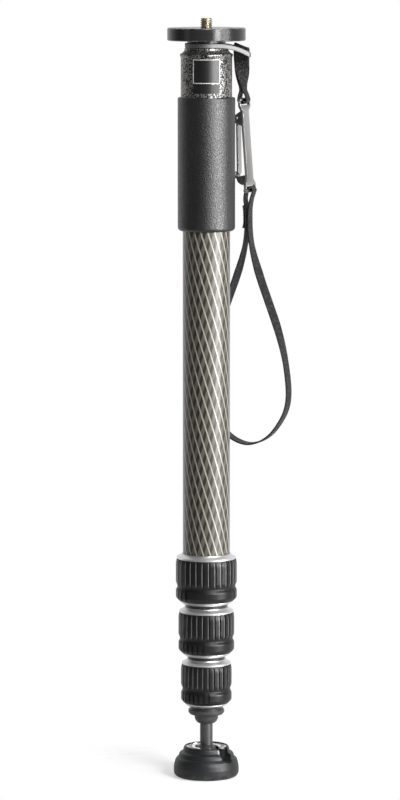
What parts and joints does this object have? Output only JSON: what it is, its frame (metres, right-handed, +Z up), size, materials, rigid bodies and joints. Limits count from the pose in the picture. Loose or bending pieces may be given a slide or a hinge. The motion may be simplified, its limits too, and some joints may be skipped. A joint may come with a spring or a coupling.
{
  "type": "camera monopod",
  "caption": "Telescopic carbon camera monopod with twist locks, rubber grip, round camera plate, swivel ball foot and a clip-on wrist strap, shown closed.",
  "frame": {"origin": "middle of the foot's flat underside, with the monopod closed and standing", "axes": "+Z up along the tube, +X towards the strap, -Y the side that carries the bare name plate"},
  "size_m": [0.0972, 0.0652, 0.5975],
  "materials": {
    "brass": "machined thread",
    "black_anodised": "black satin anodised",
    "steel": "polished steel",
    "hammertone": "speckled hammertone casting",
    "gloss_black": "gloss black, bare",
    "grip_rubber": "matte, fine grain",
    "carbon": "carbon fibre weave under clear coat",
    "black_plastic": "moulded",
    "grey_plastic": "satin moulded",
    "white_plastic": "moulded acetal",
    "chrome": "polished",
    "foot_rubber": "matte",
    "lock_rubber": "ribbed, satin",
    "seal_rubber": "matte",
    "alloy": "turned aluminium",
    "webbing": "woven nylon"
  },
  "bodies": {
    "upper": {"camera_screw": "brass", "head_disc": "black_anodised", "disc_set_screws": "steel", "head_collar": "hammertone", "name_plate": "gloss_black", "name_strip": "gloss_black", "grip_sleeve": "grip_rubber", "tube_1": "carbon", "lock_1_bush": "alloy"},
    "section_2": {"tube_2": "carbon", "guide_2": "black_plastic", "lock_2_bush": "alloy"},
    "section_3": {"tube_3": "carbon", "guide_3": "black_plastic", "lock_3_bush": "alloy"},
    "section_4": {"tube_4": "carbon", "guide_4": "black_plastic", "end_plug": "grey_plastic", "foot_shaft": "steel"},
    "foot_seat": {"ball_seat": "white_plastic"},
    "foot": {"foot_cup": "chrome", "cup_ring": "chrome", "foot_pad": "foot_rubber"},
    "strap": {"strap_ring": "steel", "strap_link": "webbing", "clip_body": "steel", "gate_pin": "steel", "wrist_loop": "webbing"},
    "gate": {"clip_gate": "steel"},
    "lock_1_clamp": {"lock_1_collet": "white_plastic"},
    "lock_1_twist": {"lock_1_nut": "alloy", "lock_1_grip": "lock_rubber", "lock_1_seal": "seal_rubber"},
    "lock_2_clamp": {"lock_2_collet": "white_plastic"},
    "lock_2_twist": {"lock_2_nut": "alloy", "lock_2_grip": "lock_rubber", "lock_2_seal": "seal_rubber"},
    "lock_3_clamp": {"lock_3_collet": "white_plastic"},
    "lock_3_twist": {"lock_3_nut": "alloy", "lock_3_grip": "lock_rubber", "lock_3_seal": "seal_rubber"}
  },
  "joints": [
    {"name": "lock_1_shift", "type": "slide", "parent": "upper", "child": "lock_1_clamp", "axis": [0, 0, -1], "range_m": [0, 0.0006]},
    {"name": "lock_1_turn", "type": "hinge", "parent": "lock_1_clamp", "child": "lock_1_twist", "pos_m": [0, 0, 0.158], "axis": [0, 0, -1], "range_deg": [0, 90]},
    {"name": "section_2_slide", "type": "slide", "parent": "upper", "child": "section_2", "axis": [0, 0, -1], "range_m": [0, 0.34]},
    {"name": "lock_2_shift", "type": "slide", "parent": "section_2", "child": "lock_2_clamp", "axis": [0, 0, -1], "range_m": [0, 0.0006]},
    {"name": "lock_2_turn", "type": "hinge", "parent": "lock_2_clamp", "child": "lock_2_twist", "pos_m": [0, 0, 0.1165], "axis": [0, 0, -1], "range_deg": [0, 90]},
    {"name": "section_3_slide", "type": "slide", "parent": "section_2", "child": "section_3", "axis": [0, 0, -1], "range_m": [0, 0.34]},
    {"name": "lock_3_shift", "type": "slide", "parent": "section_3", "child": "lock_3_clamp", "axis": [0, 0, -1], "range_m": [0, 0.0006]},
    {"name": "lock_3_turn", "type": "hinge", "parent": "lock_3_clamp", "child": "lock_3_twist", "pos_m": [0, 0, 0.0755], "axis": [0, 0, -1], "range_deg": [0, 90]},
    {"name": "section_4_slide", "type": "slide", "parent": "section_3", "child": "section_4", "axis": [0, 0, -1], "range_m": [0, 0.34]},
    {"name": "foot_swivel", "type": "hinge", "parent": "section_4", "child": "foot_seat", "pos_m": [0, 0, 0.0176], "axis": [0, 0, 1], "continuous": true},
    {"name": "foot_tilt", "type": "hinge", "parent": "foot_seat", "child": "foot", "pos_m": [0, 0, 0.0176], "axis": [-0.6691, -0.7431, 0], "range_deg": [-20, 85]},
    {"name": "strap_swivel", "type": "hinge", "parent": "upper", "child": "strap", "pos_m": [0, 0, 0.576], "axis": [0, 0, 1], "continuous": true},
    {"name": "gate_swing", "type": "hinge", "parent": "strap", "child": "gate", "pos_m": [0.02502, 0.0163, 0.51933], "axis": [-0.5, -0.866, 0], "range_deg": [0, 7], "stiffness_Nm_per_rad": 0.05, "springref_deg": -20.05}
  ],
  "couplings": [
    {"joint": "lock_1_turn", "follows": "lock_1_shift", "rad_per_m": 2618},
    {"joint": "lock_2_turn", "follows": "lock_2_shift", "rad_per_m": 2618},
    {"joint": "lock_3_turn", "follows": "lock_3_shift", "rad_per_m": 2618}
  ]
}
